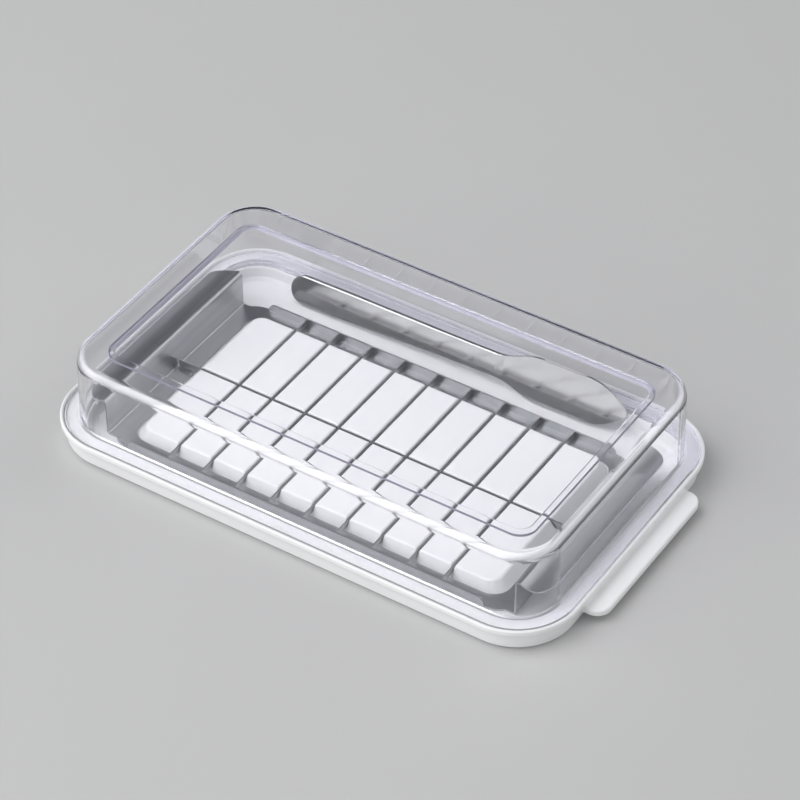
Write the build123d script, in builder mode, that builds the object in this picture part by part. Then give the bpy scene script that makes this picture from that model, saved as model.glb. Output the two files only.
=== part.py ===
from build123d import *
from math import asin, cos, radians, sin, tan
import os

os.makedirs("parts", exist_ok=True)

# The compartment that the dish is made round: columns along X, two rows along Y
column_count = 10
column_pitch = 13.0
row_width = 31.0
compartment_height = 24.0
headroom = 0.6

# Slotted platform on the tray floor
floor_thickness = 2.2
platform_height = 4.0
platform_end_margin = 1.8
platform_side_margin = 1.7
end_slope_run = 3.0
side_slope_run = 2.1
platform_corner = 6.0
slot_width = 1.2
slot_floor_height = 0.5
pad_bevel = 0.4
core_wall = 1.6
core_skin = 2.0

# Cutter frame, pressed from one sheet
sheet = 0.6
ring_clearance = 0.4
ring_seat_gap = 0.15
ring_end_width = 7.2
ring_side_width = 5.0
ring_corner = 8.0
foot_bend = 1.2
web_angle = 90.0
lip_height = 3.4
lip_end_inset = 2.8
lip_end_rounding = 2.4
grip_inset = 2.2
grip_height = 13.4
grip_bend = 0.8
grip_reach = 9.5
grip_dip = 24.0
grip_slope = 6.0
grip_corner = 6.5

# Blades, crossed by half-lap joints
blade_thickness = 0.5
blade_height = 2.8
blade_edge_height = 1.0
blade_edge_land = 0.12
lap_clearance = 0.05

# Knife, which stands on its edge in the trough behind the cutter and leans back a little
knife_length = 131.0
knife_end_offset = 65.0
knife_handle_width = 10.5
knife_neck_width = 8.4
knife_neck_place = 81.0
knife_blade_width = 16.0
knife_tip_angle = 42.0
knife_tip_rounding = 1.2
knife_handle_thickness = 2.0
knife_blade_thickness = 1.2
knife_tip_thickness = 0.8
knife_shoulder_run = 3.0
knife_lean = 16.0
knife_trough_place = 8.6
knife_edge_bevel = 0.3
serration_pitch = 1.0
serration_depth = 0.45
serration_count = 16
serration_offset = 98.0

# Room round the cutter, which sets the inside of the lid
grip_clearance = 0.6
front_gap = 5.6
knife_trough_width = 15.2

# Lid
lid_wall = 1.8
lid_draft = 1.0
lid_corner = 15.5
lid_edge_rounding = 3.2
lid_inner_rounding = 1.4
recess_depth = 1.6
recess_end_margin = 11.5
recess_side_margin = 12.9
recess_corner = 4.4
recess_draft = 12.0
recess_rim_rounding = 0.8
recess_foot_bevel = 0.6
flange_width = 4.95
flange_thickness = 1.6
flange_root_bevel = 0.8
lid_clearance = 0.3
lid_seat_gap = 0.2

# Tray rim, skirt and tab
ledge_height = 6.8
ledge_lead = 0.6
rim_height = 9.0
rim_wall = 1.2
rim_lip_height = 1.9
rim_lip_reach = 0.9
skirt_flare = 8.0
tray_wall = 2.0
cavity_draft = 8.0
floor_bevel = 1.2
edge_bevel = 0.4
foot_bevel = 0.9
channel_rib = 2.0
channel_ribs_long = 6
channel_ribs_short = 4
tab_reach = 6.0
tab_length = 63.5
tab_thickness = 2.4
tab_height = 5.0
tab_corner = 5.0
tab_root_rounding = 1.1

# Heights, from the surface that the tray stands on
floor_top = floor_thickness
platform_top = floor_top + platform_height
ring_bottom = floor_top + ring_seat_gap
ring_top = ring_bottom + sheet
slot_bottom = floor_top + slot_floor_height
ceiling = platform_top + compartment_height + headroom
recess_floor = ceiling + lid_wall
lid_top = recess_floor + recess_depth
flange_bottom = ledge_height + lid_seat_gap

# Lengths along X, from the platform outwards
platform_top_length = column_count * column_pitch + 2 * platform_end_margin
platform_foot_length = platform_top_length + 2 * end_slope_run
ring_opening_length = platform_foot_length + 2 * ring_clearance
web_face = ring_opening_length / 2 + ring_end_width
grip_tip = web_face + grip_reach
lid_inner_length = 2 * (grip_tip + grip_clearance)

# Widths along Y; the cutter sits forward of the middle, with the knife behind it
platform_top_width = 2 * (row_width + platform_side_margin)
platform_foot_width = platform_top_width + 2 * side_slope_run
ring_opening_width = platform_foot_width + 2 * ring_clearance
ring_width = ring_opening_width + 2 * ring_side_width
grip_width = ring_width - 2 * grip_inset
lid_inner_width = front_gap + ring_width + knife_trough_width
insert_y = -lid_inner_width / 2 + front_gap + ring_width / 2
front_lip = insert_y - ring_width / 2
back_lip = insert_y + ring_width / 2

# Nested outlines, as how far each stands outside the inner face of the lid's foot
lid_foot_step = lid_wall
flange_step = lid_foot_step + flange_width
rebate_step = flange_step + lid_clearance
rim_step = rebate_step + rim_wall
skirt_top_step = rim_step - rim_lip_reach
lip_underside = rim_height - rim_lip_height
foot_step = skirt_top_step - lip_underside * tan(radians(skirt_flare))
ledge_step = -ledge_lead
cavity_floor_step = ledge_step - (ledge_height - floor_top) * tan(radians(cavity_draft))
tray_half_length = lid_inner_length / 2 + foot_step
tab_tip = lid_inner_length / 2 + rim_step + tab_reach


def outline(step):
    """Rounded rectangle that stands a given step outside the inner face of the lid's foot."""
    RectangleRounded(
        lid_inner_length + 2 * step,
        lid_inner_width + 2 * step,
        lid_corner - lid_wall + step,
    )


# Tray: a moulded shell with an open channel under its ledge
with BuildPart() as tray:
    with BuildSketch(Plane.XY):
        outline(foot_step)
    extrude(amount=lip_underside, taper=-skirt_flare)
    chamfer(tray.edges().group_by(Axis.Z)[0], foot_bevel)

    # Tab on the skirt at the +X end
    tab_root = tray_half_length - tray_wall
    tab_bottom = tab_height - tab_thickness
    with BuildSketch(Plane.XY.offset(tab_bottom)):
        with Locations(((tab_root + tab_tip) / 2, 0)):
            Rectangle(tab_tip - tab_root, tab_length)
        fillet(vertices().group_by(Axis.X)[-1], tab_corner)
    extrude(amount=tab_thickness)
    skirt_top_x = lid_inner_length / 2 + skirt_top_step
    tab_edges = tray.edges().filter_by_position(Axis.X, skirt_top_x, tab_tip)
    tab_rims = tab_edges.filter_by_position(Axis.Z, tab_bottom, tab_bottom)
    tab_rims += tab_edges.filter_by_position(Axis.Z, tab_height, tab_height)
    chamfer(tab_rims, edge_bevel)
    skirt_end = tray.faces().filter_by(lambda face: len(face.inner_wires()) > 0)[0]
    fillet(skirt_end.inner_wires()[0].edges(), tab_root_rounding)

    # Rim lip, then the rebate that takes the flange of the lid
    with BuildSketch(Plane.XY.offset(lip_underside)):
        outline(rim_step)
    extrude(amount=rim_lip_height)
    with BuildSketch(Plane.XY.offset(ledge_height)):
        outline(rebate_step)
    extrude(amount=rim_height - ledge_height, mode=Mode.SUBTRACT)
    chamfer(tray.edges().group_by(Axis.Z)[-1], edge_bevel)

    # Cavity
    with BuildSketch(Plane.XY.offset(floor_top)):
        outline(cavity_floor_step)
    extrude(amount=ledge_height - floor_top, taper=-cavity_draft, mode=Mode.SUBTRACT)
    cavity_edges = tray.edges(Select.LAST).group_by(Axis.Z)
    chamfer(cavity_edges[0], floor_bevel)
    chamfer(cavity_edges[-1], edge_bevel)

    # Channel under the ledge, crossed by short ribs
    channel_outer = foot_step - tray_wall
    channel_inner = cavity_floor_step + tray_wall
    channel_middle = (channel_outer + channel_inner) / 2
    rib_span = 2 * (channel_outer - channel_inner)
    with BuildSketch(Plane.XY):
        outline(channel_outer)
        with BuildSketch(mode=Mode.SUBTRACT):
            outline(channel_inner)
        rib_pitch_long = lid_inner_length / channel_ribs_long
        rib_pitch_short = lid_inner_width / channel_ribs_short
        with GridLocations(rib_pitch_long, lid_inner_width + 2 * channel_middle, channel_ribs_long, 2):
            Rectangle(channel_rib, rib_span, mode=Mode.SUBTRACT)
        with GridLocations(lid_inner_length + 2 * channel_middle, rib_pitch_short, 2, channel_ribs_short):
            Rectangle(rib_span, channel_rib, mode=Mode.SUBTRACT)
    extrude(amount=ledge_height - tray_wall, mode=Mode.SUBTRACT)

    # Platform with sloping sides, cut by the slots that the blades drop into
    with BuildSketch(Plane.XY.offset(floor_top)):
        with Locations((0, insert_y)):
            RectangleRounded(platform_foot_length, platform_foot_width, platform_corner)
    with BuildSketch(Plane.XY.offset(platform_top)):
        with Locations((0, insert_y)):
            RectangleRounded(platform_top_length, platform_top_width, platform_corner - side_slope_run)
    loft(ruled=True)
    with BuildSketch(Plane.XY.offset(slot_bottom)):
        with Locations((0, insert_y)):
            with GridLocations(column_pitch, 0, column_count - 1, 1):
                Rectangle(slot_width, platform_foot_width)
            Rectangle(platform_foot_length, slot_width)
    extrude(amount=platform_height, mode=Mode.SUBTRACT)
    chamfer(tray.edges().filter_by_position(Axis.Z, platform_top, platform_top), pad_bevel)

    # Cored underside, one pocket under each pad
    pocket_length = column_pitch - slot_width - 2 * core_wall
    pocket_width = row_width + platform_side_margin - slot_width / 2 - 2 * core_wall
    with BuildSketch(Plane.XY):
        with Locations((0, insert_y)):
            with GridLocations(column_pitch, pocket_width + slot_width + 2 * core_wall, column_count, 2):
                Rectangle(pocket_length, pocket_width)
    extrude(amount=platform_top - core_skin, mode=Mode.SUBTRACT)

tray.part.label = "tray"
export_step(tray.part, "parts/tray.step")

# Lid: a clear cover with a sunk top and an outward flange
lid_rise = lid_top - flange_bottom
recess_length = lid_inner_length + 2 * lid_wall - 2 * recess_end_margin
recess_width = lid_inner_width + 2 * lid_wall - 2 * recess_side_margin
with BuildPart() as lid:
    with BuildSketch(Plane.XY.offset(flange_bottom)):
        outline(flange_step)
    extrude(amount=flange_thickness)
    chamfer(lid.edges().group_by(Axis.Z)[-1], edge_bevel)
    with BuildSketch(Plane.XY.offset(flange_bottom)):
        outline(lid_foot_step)
    extrude(amount=lid_rise, taper=lid_draft)
    fillet(lid.edges().group_by(Axis.Z)[-1], lid_edge_rounding)
    flange_top = flange_bottom + flange_thickness
    flange_face = lid.faces().filter_by(Axis.Z).filter_by_position(Axis.Z, flange_top, flange_top)[0]
    chamfer(flange_face.inner_wires()[0].edges(), flange_root_bevel)
    with BuildSketch(Plane.XY.offset(flange_bottom)):
        outline(0)
    extrude(amount=lid_top - lid_wall - flange_bottom, taper=lid_draft, mode=Mode.SUBTRACT)
    fillet(lid.edges(Select.LAST).group_by(Axis.Z)[-1], lid_inner_rounding)

    # The sunk panel, drawn down with the same wall below it
    with BuildSketch(Plane.XY.offset(ceiling)):
        RectangleRounded(
            recess_length + 2 * lid_wall,
            recess_width + 2 * lid_wall,
            recess_corner + lid_wall,
        )
    extrude(amount=recess_depth)
    chamfer(lid.edges(Select.LAST).group_by(Axis.Z)[0], recess_foot_bevel)
    with BuildSketch(Plane.XY.offset(lid_top)):
        RectangleRounded(recess_length, recess_width, recess_corner)
    extrude(amount=-recess_depth, taper=recess_draft, mode=Mode.SUBTRACT)
    fillet(lid.edges(Select.LAST).filter_by_position(Axis.Z, lid_top, lid_top), recess_rim_rounding)
lid.part.label = "lid"
export_step(lid.part, "parts/lid.step")

# Cutter frame: base ring, upright webs that turn outwards into scooped grips, and low side lips
scoop_entry = grip_dip + grip_slope
scoop_exit = grip_dip - grip_slope
turn_back = web_angle + scoop_entry
scoop_reach = grip_reach - grip_bend * (1 + sin(radians(scoop_entry)))
scoop_radius = scoop_reach / (sin(radians(scoop_entry)) + sin(radians(scoop_exit)))
with BuildPart() as cutter_frame:
    with BuildSketch(Plane.XZ.offset(-insert_y)):
        with BuildLine():
            foot = Line((ring_opening_length / 2 + sheet, ring_bottom), (web_face - foot_bend, ring_bottom))
            heel = JernArc(start=foot @ 1, tangent=foot % 1, radius=foot_bend, arc_size=web_angle)
            web = Line(heel @ 1, (web_face, ring_bottom + grip_height - grip_bend))
            turn = JernArc(start=web @ 1, tangent=web % 1, radius=grip_bend, arc_size=-turn_back)
            JernArc(start=turn @ 1, tangent=turn % 1, radius=scoop_radius, arc_size=2 * grip_dip)
            offset(amount=sheet, side=Side.LEFT)
        make_face()
    extrude(amount=grip_width / 2, both=True)
    mirror(about=Plane.YZ)
    with BuildSketch(Plane.XY):
        with Locations((0, insert_y)):
            RectangleRounded(2 * grip_tip, grip_width, grip_corner)
    extrude(amount=lid_top, mode=Mode.INTERSECT)

    with BuildSketch(Plane.XY.offset(ring_bottom)):
        with Locations((0, insert_y)):
            RectangleRounded(2 * (web_face - foot_bend), ring_width, ring_corner)
            RectangleRounded(ring_opening_length, ring_opening_width, platform_corner, mode=Mode.SUBTRACT)
    extrude(amount=sheet)
    lip_length = ring_opening_length - 2 * lip_end_inset
    for face_y, inward in ((front_lip, -sheet), (back_lip, sheet)):
        with BuildSketch(Plane.XZ.offset(-face_y)):
            with Locations((0, ring_bottom + lip_height / 2)):
                Rectangle(lip_length, lip_height)
            fillet(vertices().group_by(Axis.Y)[-1], lip_end_rounding)
        extrude(amount=inward)
cutter_frame.part.label = "cutter_frame"
export_step(cutter_frame.part, "parts/cutter_frame.step")


def blade_profile():
    """Blade section, standing on its sharpened edge at the local origin."""
    half = blade_thickness / 2
    land = blade_edge_land / 2
    Polygon(
        (-land, 0),
        (land, 0),
        (half, blade_edge_height),
        (half, blade_height),
        (-half, blade_height),
        (-half, blade_edge_height),
        align=None,
    )


# Cross blades reach from lip to lip and take the long blade in a notch from below
cross_length = ring_width - 2 * sheet
lap_height = blade_height / 2
notch = blade_thickness + 2 * lap_clearance
for number in range(1, column_count):
    blade_x = (number - column_count / 2) * column_pitch
    blade_end = Plane((blade_x, back_lip - sheet, ring_top), x_dir=(1, 0, 0), z_dir=(0, -1, 0))
    with BuildPart() as cross_blade:
        with BuildSketch(blade_end):
            blade_profile()
        extrude(amount=cross_length)
        with Locations((blade_x, insert_y, ring_top + lap_height / 2)):
            Box(2 * blade_thickness, notch, lap_height + lap_clearance, mode=Mode.SUBTRACT)
    cross_blade.part.label = f"cross_blade_{number}"
    export_step(cross_blade.part, f"parts/cross_blade_{number}.step")

# Long blade reaches from bend to bend and takes the cross blades in notches from above
long_length = 2 * (web_face - foot_bend)
long_end = Plane((-long_length / 2, insert_y, ring_top), x_dir=(0, 1, 0), z_dir=(1, 0, 0))
with BuildPart() as long_blade:
    with BuildSketch(long_end):
        blade_profile()
    extrude(amount=long_length)
    with Locations((0, insert_y, ring_top + blade_height - lap_height / 2)):
        with GridLocations(column_pitch, 0, column_count - 1, 1):
            Box(notch, 2 * blade_thickness, lap_height + lap_clearance, mode=Mode.SUBTRACT)
long_blade.part.label = "long_blade"
export_step(long_blade.part, "parts/long_blade.step")

# Knife, at rest on the end of its handle and the belly of its blade
handle_radius = knife_handle_width / 2
blade_half = knife_blade_width / 2
lean = radians(knife_lean)
serration_length = serration_count * serration_pitch
belly_place = serration_offset + serration_length / 2
pitch = asin((blade_half - handle_radius) / (belly_place - handle_radius))
knife_axis = Vector(cos(pitch), 0, sin(pitch))
knife_side = Vector(-sin(pitch) * sin(lean), -cos(lean), cos(pitch) * sin(lean))
knife_up = knife_side.cross(knife_axis)
knife_rest = floor_top + ring_seat_gap + handle_radius * cos(lean) + knife_handle_thickness / 2 * sin(lean)
knife_y = back_lip + knife_trough_place + handle_radius * sin(lean)
neck_x = knife_neck_place - knife_end_offset
knife_origin = (-knife_end_offset, knife_y, knife_rest)
with BuildPart() as butter_knife:
    with BuildSketch(Plane(knife_origin, x_dir=knife_axis, z_dir=knife_side)):
        with BuildLine():
            teeth_end = serration_offset + serration_length
            point_slope = (cos(radians(knife_tip_angle)), -sin(radians(knife_tip_angle)))
            cap = RadiusArc((0, 0), (handle_radius, handle_radius), handle_radius)
            Spline(cap @ 1, (knife_neck_place, knife_neck_width / 2), tangents=((1, 0), (1, 0)))
            Spline(
                (knife_neck_place, knife_neck_width / 2),
                (serration_offset, blade_half),
                tangents=((1, 0), (1, 0)),
            )
            Line((serration_offset, blade_half), (teeth_end, blade_half))
            Spline((teeth_end, blade_half), (knife_length, 0), tangents=((1, 0), point_slope))
            mirror(about=Plane.XZ)
        make_face()
        fillet(vertices().sort_by(Axis.X)[-1], knife_tip_rounding)
        with Locations((belly_place, blade_half)):
            with GridLocations(serration_pitch, 0, serration_count, 1):
                RegularPolygon(serration_depth, 4, mode=Mode.SUBTRACT)
    extrude(amount=knife_handle_thickness / 2, both=True)

    # Side profile: the blade is thinner than the handle, with a sloping shoulder between
    with BuildSketch(Plane(knife_origin, x_dir=knife_axis, z_dir=knife_up)):
        with BuildLine():
            Polyline(
                (0, 0),
                (0, knife_handle_thickness / 2),
                (knife_neck_place, knife_handle_thickness / 2),
                (knife_neck_place + knife_shoulder_run, knife_blade_thickness / 2),
                (knife_length, knife_tip_thickness / 2),
                (knife_length, 0),
            )
            mirror(about=Plane.XZ)
        make_face()
    extrude(amount=knife_blade_width, both=True, mode=Mode.INTERSECT)
    handle_flats = butter_knife.faces().filter_by(Axis((0, 0, 0), knife_side))
    handle_rims = [
        flat.edges().filter_by_position(Axis.X, -knife_end_offset, neck_x - knife_shoulder_run)
        for flat in handle_flats
    ]
    chamfer([edge for rim in handle_rims for edge in rim], knife_edge_bevel)
butter_knife.part.label = "butter_knife"
export_step(butter_knife.part, "parts/butter_knife.step")
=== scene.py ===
from math import cos, radians, sin

import bpy
from mathutils import Matrix, Vector

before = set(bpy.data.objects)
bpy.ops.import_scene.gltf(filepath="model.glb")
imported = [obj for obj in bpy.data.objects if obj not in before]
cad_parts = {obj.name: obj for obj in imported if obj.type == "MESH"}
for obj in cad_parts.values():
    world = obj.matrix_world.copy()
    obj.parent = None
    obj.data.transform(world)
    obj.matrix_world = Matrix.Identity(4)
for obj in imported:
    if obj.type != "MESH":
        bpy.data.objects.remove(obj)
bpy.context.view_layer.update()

# Camera, as fitted to the photograph: a long lens, aimed at the frame's origin
PICTURE_SIDE = 800
ORIGIN_LEFT_OF_MIDDLE = 19.65
ORIGIN_BELOW_MIDDLE = 49.0
FOCAL_PIXELS = 3419.0
SENSOR_WIDTH = 36.0
CAMERA_AZIMUTH = 33.28
CAMERA_ELEVATION = 41.99
CAMERA_ROLL = -0.39
CAMERA_DISTANCE = 1.108
CAMERA_CLIP_START = 0.05

# Studio
FLOOR_SIZE = 8.0
FLOOR_COLOR = (0.53, 0.53, 0.53)
FLOOR_MOTTLE = 0.985
FLOOR_ROUGHNESS = 0.6
LOW_SKY = (0.76, 0.76, 0.76)
MIDDLE_SKY = (0.34, 0.35, 0.37)
HIGH_SKY = (0.36, 0.36, 0.37)
LOW_SKY_HEIGHT = 0.05
MIDDLE_SKY_HEIGHT = 0.45
HIGH_SKY_HEIGHT = 0.90
LAMP_DISTANCE = 1.2
KEY_TOWARD = (-0.41, -0.33, 0.85)
KEY_SIZE = (0.9, 0.9)
KEY_POWER = 5.4
FILL_TOWARD = (-0.25, -0.93, 0.27)
FILL_SIZE = (0.9, 0.5)
FILL_POWER = 2.4
# Round soft patches of the sky: direction, light, and degrees out to where it is full and ends
SKY_PATCHES = (
    (KEY_TOWARD, (1.5, 1.5, 1.5), 16, 46),
    ((0.50, 0.64, 0.58), (1.5, 1.5, 1.5), 12, 34),
    ((-0.40, -0.88, 0.26), (1.15, 1.15, 1.15), 14, 38),
    ((-0.60, 0.64, 0.48), (0.055, 0.06, 0.075), 32, 50),
)

# Half sides and underside of the box that holds the recessed panel in the lid's top
PANEL_HALF_LENGTH = 0.081
PANEL_HALF_WIDTH = 0.044
PANEL_UNDERSIDE = 0.0307
MASK_EDGE = 0.0001

# Tray
WHITE = (0.87, 0.872, 0.878)
WHITE_CLOUD = (0.855, 0.858, 0.866)
WHITE_IOR = 1.5
SOFTENED_EDGE = 0.0005

# Lid
CLEAR_COLOR = (0.99, 0.99, 0.995)
CLEAR_IOR = 1.49
BODY_TINT = (0.68, 0.65, 0.92)
BODY_DENSITY = 16.0
# Painted highlight: a diffuse lavender haze on the lid's rounded edges and panel sides stands in
# for the bright bands they reflect, with a trace of it on the flat walls
EDGE_HIGHLIGHT_TINT = (0.93, 0.925, 0.97)
PANEL_SIDE_HIGHLIGHT_TINT = (0.56, 0.545, 0.66)
PAINTED_HAZE_ROUGHNESS = 0.12
WALL_PAINTED_HAZE = 0.01
EDGE_PAINTED_HAZE = 0.38
PANEL_SIDE_PAINTED_HAZE = 0.5
LAMP_TINT = (0.94, 0.94, 0.96)

# Scale of the streaks in a steel's colour against its grain: below 1 they are broader
TINT_STRETCH = 0.35


def new_material(name):
    """Empty node material with one Principled shader, as (material, nodes, links, shader)."""
    material = bpy.data.materials.new(name)
    material.use_nodes = True
    nodes = material.node_tree.nodes
    shader = nodes["Principled BSDF"]
    return material, nodes, material.node_tree.links, shader


def place(nodes, links, stretch=(1, 1, 1), turn=(0, 0, 0)):
    """Coordinates in metres in the part's own frame, stretched along its axes."""
    coordinates = nodes.new("ShaderNodeTexCoord")
    mapping = nodes.new("ShaderNodeMapping")
    mapping.inputs["Scale"].default_value = stretch
    mapping.inputs["Rotation"].default_value = turn
    links.new(coordinates.outputs["Object"], mapping.inputs["Vector"])
    return mapping.outputs["Vector"]


def noise(nodes, links, vector, scale, detail=3.0, roughness=0.5):
    texture = nodes.new("ShaderNodeTexNoise")
    texture.inputs["Scale"].default_value = scale
    texture.inputs["Detail"].default_value = detail
    texture.inputs["Roughness"].default_value = roughness
    links.new(vector, texture.inputs["Vector"])
    return texture.outputs["Fac"]


def spread(nodes, links, value, low, high, start=0.35, end=0.65):
    """Maps the useful part of a noise, start to end, onto low to high."""
    ranged = nodes.new("ShaderNodeMapRange")
    ranged.inputs["From Min"].default_value = start
    ranged.inputs["From Max"].default_value = end
    ranged.inputs["To Min"].default_value = low
    ranged.inputs["To Max"].default_value = high
    links.new(value, ranged.inputs["Value"])
    return ranged.outputs["Result"]


def blend_colors(nodes, links, factor, first, second):
    mix = nodes.new("ShaderNodeMix")
    mix.data_type = "RGBA"
    mix.inputs["A"].default_value = (*first, 1)
    mix.inputs["B"].default_value = (*second, 1)
    links.new(factor, mix.inputs["Factor"])
    return mix.outputs["Result"]


def bump(nodes, links, height, distance, strength=1.0, under=None):
    node = nodes.new("ShaderNodeBump")
    node.inputs["Distance"].default_value = distance
    node.inputs["Strength"].default_value = strength
    links.new(height, node.inputs["Height"])
    if under is not None:
        links.new(under, node.inputs["Normal"])
    return node.outputs["Normal"]


def softened_edges(nodes, radius):
    bevel = nodes.new("ShaderNodeBevel")
    bevel.samples = 4
    bevel.inputs["Radius"].default_value = radius
    return bevel.outputs["Normal"]


def multiply(nodes, links, first, second):
    product = nodes.new("ShaderNodeMath")
    product.operation = "MULTIPLY"
    links.new(first, product.inputs[0])
    links.new(second, product.inputs[1])
    return product.outputs["Value"]


def size_of(nodes, links, value):
    absolute = nodes.new("ShaderNodeMath")
    absolute.operation = "ABSOLUTE"
    links.new(value, absolute.inputs[0])
    return absolute.outputs["Value"]


def below(nodes, links, value, limit, edge=MASK_EDGE):
    """1 where the value is under the limit, 0 over it."""
    return spread(nodes, links, value, 1, 0, limit, limit + edge)


def painted_highlight_masks(nodes, links, vector):
    """Where the lid gets its painted highlight: where its surface is a rounded edge, and where it
    is a side of the recessed panel.
    """
    geometry = nodes.new("ShaderNodeNewGeometry")
    normal = nodes.new("ShaderNodeSeparateXYZ")
    links.new(geometry.outputs["Normal"], normal.inputs["Vector"])
    upward = size_of(nodes, links, normal.outputs["Z"])
    ramp = nodes.new("ShaderNodeValToRGB")
    links.new(upward, ramp.inputs["Fac"])
    stops = ramp.color_ramp.elements
    stops[0].position, stops[0].color = 0.15, (0, 0, 0, 1)
    stops[1].position, stops[1].color = 0.985, (0, 0, 0, 1)
    stops.new(0.45).color = (1, 1, 1, 1)
    stops.new(0.85).color = (1, 1, 1, 1)
    position = nodes.new("ShaderNodeSeparateXYZ")
    links.new(vector, position.inputs["Vector"])
    side = below(nodes, links, upward, 0.85, 0.1)
    for value, limit in (("X", PANEL_HALF_LENGTH), ("Y", PANEL_HALF_WIDTH)):
        near = below(nodes, links, size_of(nodes, links, position.outputs[value]), limit)
        side = multiply(nodes, links, side, near)
    height = position.outputs["Z"]
    high = spread(nodes, links, height, 0, 1, PANEL_UNDERSIDE, PANEL_UNDERSIDE + MASK_EDGE)
    return ramp.outputs["Color"], multiply(nodes, links, side, high)


def white_plastic():
    material, nodes, links, shader = new_material("white moulded plastic")
    vector = place(nodes, links)
    tint = spread(nodes, links, noise(nodes, links, vector, 35), 0, 1)
    color = blend_colors(nodes, links, tint, WHITE, WHITE_CLOUD)
    links.new(color, shader.inputs["Base Color"])
    smears = noise(nodes, links, place(nodes, links, (1, 2.5, 1), (0, 0, 0.5)), 90, 5, 0.6)
    links.new(spread(nodes, links, smears, 0.29, 0.36), shader.inputs["Roughness"])
    grain = noise(nodes, links, vector, 1100, 2)
    rounded = softened_edges(nodes, SOFTENED_EDGE)
    links.new(bump(nodes, links, grain, 0.00001, 0.2, rounded), shader.inputs["Normal"])
    shader.inputs["IOR"].default_value = WHITE_IOR
    shader.inputs["Subsurface Weight"].default_value = 0.15
    shader.inputs["Subsurface Radius"].default_value = (0.0012, 0.0011, 0.001)
    return material


def clear_plastic():
    material, nodes, links, clear = new_material("clear plastic")
    clear.inputs["Base Color"].default_value = (*CLEAR_COLOR, 1)
    clear.inputs["Transmission Weight"].default_value = 1.0
    clear.inputs["IOR"].default_value = CLEAR_IOR
    vector = place(nodes, links)
    smears = noise(nodes, links, place(nodes, links, (1, 1.8, 1), (0, 0, 0.9)), 55, 5, 0.6)
    links.new(spread(nodes, links, smears, 0.0, 0.03, 0.45, 0.75), clear.inputs["Roughness"])
    waviness = noise(nodes, links, vector, 25, 1)
    links.new(bump(nodes, links, waviness, 0.0002, 0.06), clear.inputs["Normal"])
    # The rounded edges and the panel's sides are hazier and more violet than the flat walls: this
    # haze is a painted highlight that stands in for the bright bands these surfaces reflect
    edge, panel_side = painted_highlight_masks(nodes, links, vector)
    painted_haze = nodes.new("ShaderNodeBsdfPrincipled")
    painted_haze.inputs["Roughness"].default_value = PAINTED_HAZE_ROUGHNESS
    painted_haze.inputs["IOR"].default_value = CLEAR_IOR
    tint = blend_colors(nodes, links, panel_side, EDGE_HIGHLIGHT_TINT, PANEL_SIDE_HIGHLIGHT_TINT)
    links.new(tint, painted_haze.inputs["Base Color"])
    painted_haze_amount = nodes.new("ShaderNodeMath")
    painted_haze_amount.operation = "MAXIMUM"
    links.new(spread(nodes, links, edge, WALL_PAINTED_HAZE, EDGE_PAINTED_HAZE, 0, 1), painted_haze_amount.inputs[0])
    links.new(spread(nodes, links, panel_side, 0, PANEL_SIDE_PAINTED_HAZE, 0, 1), painted_haze_amount.inputs[1])
    plastic = nodes.new("ShaderNodeMixShader")
    links.new(painted_haze_amount.outputs["Value"], plastic.inputs["Fac"])
    links.new(clear.outputs["BSDF"], plastic.inputs[1])
    links.new(painted_haze.outputs["BSDF"], plastic.inputs[2])
    absorption = nodes.new("ShaderNodeVolumeAbsorption")
    absorption.inputs["Color"].default_value = (*BODY_TINT, 1)
    absorption.inputs["Density"].default_value = BODY_DENSITY
    output = nodes["Material Output"]
    links.new(absorption.outputs["Volume"], output.inputs["Volume"])
    # Lamps shine through the clear wall, as they do through the real one
    see_through = nodes.new("ShaderNodeBsdfTransparent")
    see_through.inputs["Color"].default_value = (*LAMP_TINT, 1)
    path = nodes.new("ShaderNodeLightPath")
    mix = nodes.new("ShaderNodeMixShader")
    links.new(path.outputs["Is Shadow Ray"], mix.inputs["Fac"])
    links.new(plastic.outputs["Shader"], mix.inputs[1])
    links.new(see_through.outputs["BSDF"], mix.inputs[2])
    links.new(mix.outputs["Shader"], output.inputs["Surface"])
    return material


def steel(name, color, dull, streaks, streak_depth, smooth, cloudy):
    """Stainless steel: streaks stretches the grain, and its roughness is smooth to cloudy."""
    material, nodes, links, shader = new_material(name)
    shader.inputs["Metallic"].default_value = 1.0
    vector = place(nodes, links)
    brushed = tuple(TINT_STRETCH * factor for factor in streaks)
    tint = spread(nodes, links, noise(nodes, links, place(nodes, links, brushed), 1.0, 2), 0, 1)
    links.new(blend_colors(nodes, links, tint, color, dull), shader.inputs["Base Color"])
    smudges = noise(nodes, links, vector, 120, 6, 0.65)
    links.new(spread(nodes, links, smudges, smooth, cloudy, 0.38, 0.72), shader.inputs["Roughness"])
    grain = noise(nodes, links, place(nodes, links, streaks), 1.0, 3, 0.6)
    links.new(bump(nodes, links, grain, streak_depth, 0.5), shader.inputs["Normal"])
    return material


def dress(node, material):
    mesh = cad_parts[node].data
    mesh.materials.clear()
    mesh.materials.append(material)


def area_light(name, toward, size, power):
    """Soft light that stands in a direction from the dish and faces it."""
    lamp = bpy.data.lights.new(name, "AREA")
    lamp.shape = "RECTANGLE"
    lamp.size, lamp.size_y = size
    lamp.energy = power
    holder = bpy.data.objects.new(name, lamp)
    bpy.context.scene.collection.objects.link(holder)
    direction = Vector(toward).normalized()
    holder.location = direction * LAMP_DISTANCE
    holder.rotation_euler = direction.to_track_quat("Z", "Y").to_euler()
    # The lid and the steel mirror the soft-edged patches of the sky, not the lamps
    holder.visible_glossy = False


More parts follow.
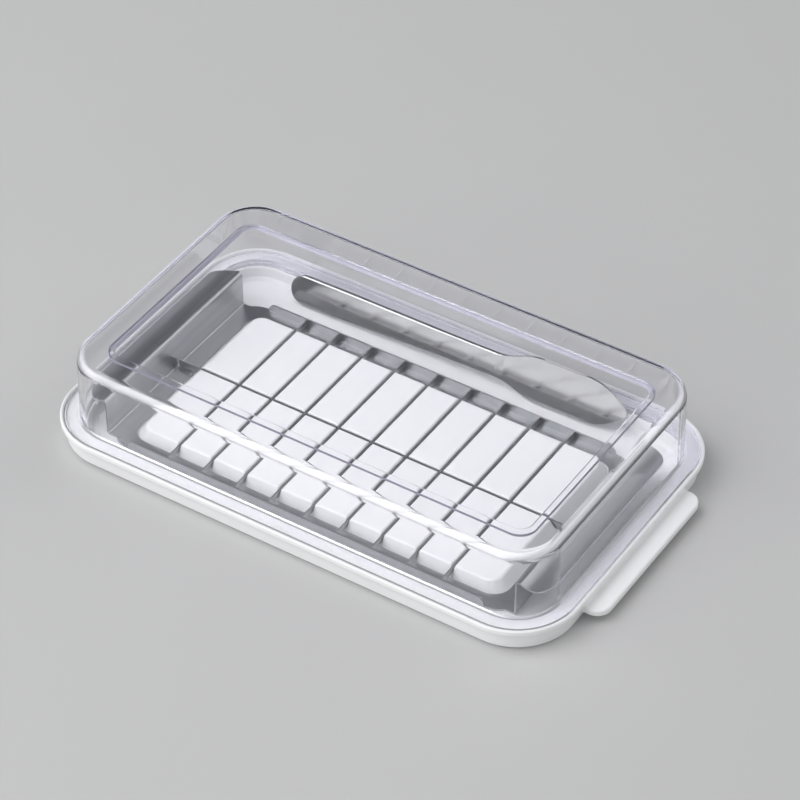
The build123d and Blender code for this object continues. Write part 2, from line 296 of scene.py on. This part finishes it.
def studio_floor():
    bpy.ops.mesh.primitive_plane_add(size=FLOOR_SIZE)
    floor = bpy.context.object
    floor.name = "studio_floor"
    material, nodes, links, shader = new_material("studio floor")
    tint = spread(nodes, links, noise(nodes, links, place(nodes, links), 6, 4), 0, 1)
    darker = tuple(FLOOR_MOTTLE * channel for channel in FLOOR_COLOR)
    links.new(blend_colors(nodes, links, tint, FLOOR_COLOR, darker), shader.inputs["Base Color"])
    shader.inputs["Roughness"].default_value = FLOOR_ROUGHNESS
    floor.data.materials.append(material)


def studio_sky():
    """World light by height, with soft patches for the lid and the steel to mirror."""
    world = bpy.data.worlds.new("studio sky")
    world.use_nodes = True
    nodes, links = world.node_tree.nodes, world.node_tree.links
    coordinates = nodes.new("ShaderNodeTexCoord")
    split = nodes.new("ShaderNodeSeparateXYZ")
    ramp = nodes.new("ShaderNodeValToRGB")
    links.new(coordinates.outputs["Generated"], split.inputs["Vector"])
    links.new(split.outputs["Z"], ramp.inputs["Fac"])
    stops = ramp.color_ramp.elements
    stops[0].position, stops[0].color = LOW_SKY_HEIGHT, (*LOW_SKY, 1)
    stops[1].position, stops[1].color = HIGH_SKY_HEIGHT, (*HIGH_SKY, 1)
    stops.new(MIDDLE_SKY_HEIGHT).color = (*MIDDLE_SKY, 1)
    sky = ramp.outputs["Color"]
    for toward, light, full, end in SKY_PATCHES:
        aim = nodes.new("ShaderNodeVectorMath")
        aim.operation = "DOT_PRODUCT"
        aim.inputs[1].default_value = Vector(toward).normalized()
        links.new(coordinates.outputs["Generated"], aim.inputs[0])
        outer, inner = cos(radians(end)), cos(radians(full))
        nearness = spread(nodes, links, aim.outputs["Value"], 0, 1, outer, inner)
        nearness.node.interpolation_type = "SMOOTHSTEP"
        mix = nodes.new("ShaderNodeMix")
        mix.data_type = "RGBA"
        mix.inputs["B"].default_value = (*light, 1)
        links.new(nearness, mix.inputs["Factor"])
        links.new(sky, mix.inputs["A"])
        sky = mix.outputs["Result"]
    links.new(sky, nodes["Background"].inputs["Color"])
    bpy.context.scene.world = world


def photo_camera():
    azimuth, elevation, roll = map(radians, (CAMERA_AZIMUTH, CAMERA_ELEVATION, CAMERA_ROLL))
    back = Vector((sin(azimuth) * cos(elevation), -cos(azimuth) * cos(elevation), sin(elevation)))
    level_right = Vector((0, 0, 1)).cross(back).normalized()
    level_up = back.cross(level_right)
    right = level_right * cos(roll) + level_up * sin(roll)
    up = level_up * cos(roll) - level_right * sin(roll)
    data = bpy.data.cameras.new("photo camera")
    data.sensor_width = SENSOR_WIDTH
    data.lens = SENSOR_WIDTH * FOCAL_PIXELS / PICTURE_SIDE
    data.shift_x = ORIGIN_LEFT_OF_MIDDLE / PICTURE_SIDE
    data.shift_y = ORIGIN_BELOW_MIDDLE / PICTURE_SIDE
    data.clip_start = CAMERA_CLIP_START
    camera = bpy.data.objects.new("photo camera", data)
    bpy.context.scene.collection.objects.link(camera)
    turned = Matrix((right, up, back)).transposed().to_4x4()
    camera.matrix_world = Matrix.Translation(back * CAMERA_DISTANCE) @ turned
    bpy.context.scene.camera = camera


dress("tray", white_plastic())
dress("lid", clear_plastic())
frame_steel = steel(
    "satin sheet steel",
    color=(0.50, 0.505, 0.52), dull=(0.45, 0.455, 0.47),
    streaks=(1500, 40, 1500), streak_depth=0.0000015, smooth=0.285, cloudy=0.33,
)
dress("cutter_frame", frame_steel)
cross_steel = steel(
    "ground blade steel",
    color=(0.58, 0.58, 0.59), dull=(0.55, 0.55, 0.56),
    streaks=(3000, 120, 3000), streak_depth=0.000006, smooth=0.285, cloudy=0.35,
)
long_steel = steel(
    "ground long blade steel",
    color=(0.58, 0.58, 0.59), dull=(0.55, 0.55, 0.56),
    streaks=(120, 3000, 3000), streak_depth=0.000006, smooth=0.285, cloudy=0.35,
)
for node in sorted(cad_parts):
    if node.startswith("cross_blade"):
        dress(node, cross_steel)
dress("long_blade", long_steel)
knife_steel = steel(
    "polished knife steel",
    color=(0.565, 0.565, 0.56), dull=(0.55, 0.55, 0.547),
    streaks=(80, 3500, 3500), streak_depth=0.000003, smooth=0.13, cloudy=0.18,
)
dress("butter_knife", knife_steel)

studio_floor()
studio_sky()
area_light("key softbox", KEY_TOWARD, KEY_SIZE, KEY_POWER)
area_light("front fill", FILL_TOWARD, FILL_SIZE, FILL_POWER)
photo_camera()
bpy.context.scene.view_settings.view_transform = "Standard"
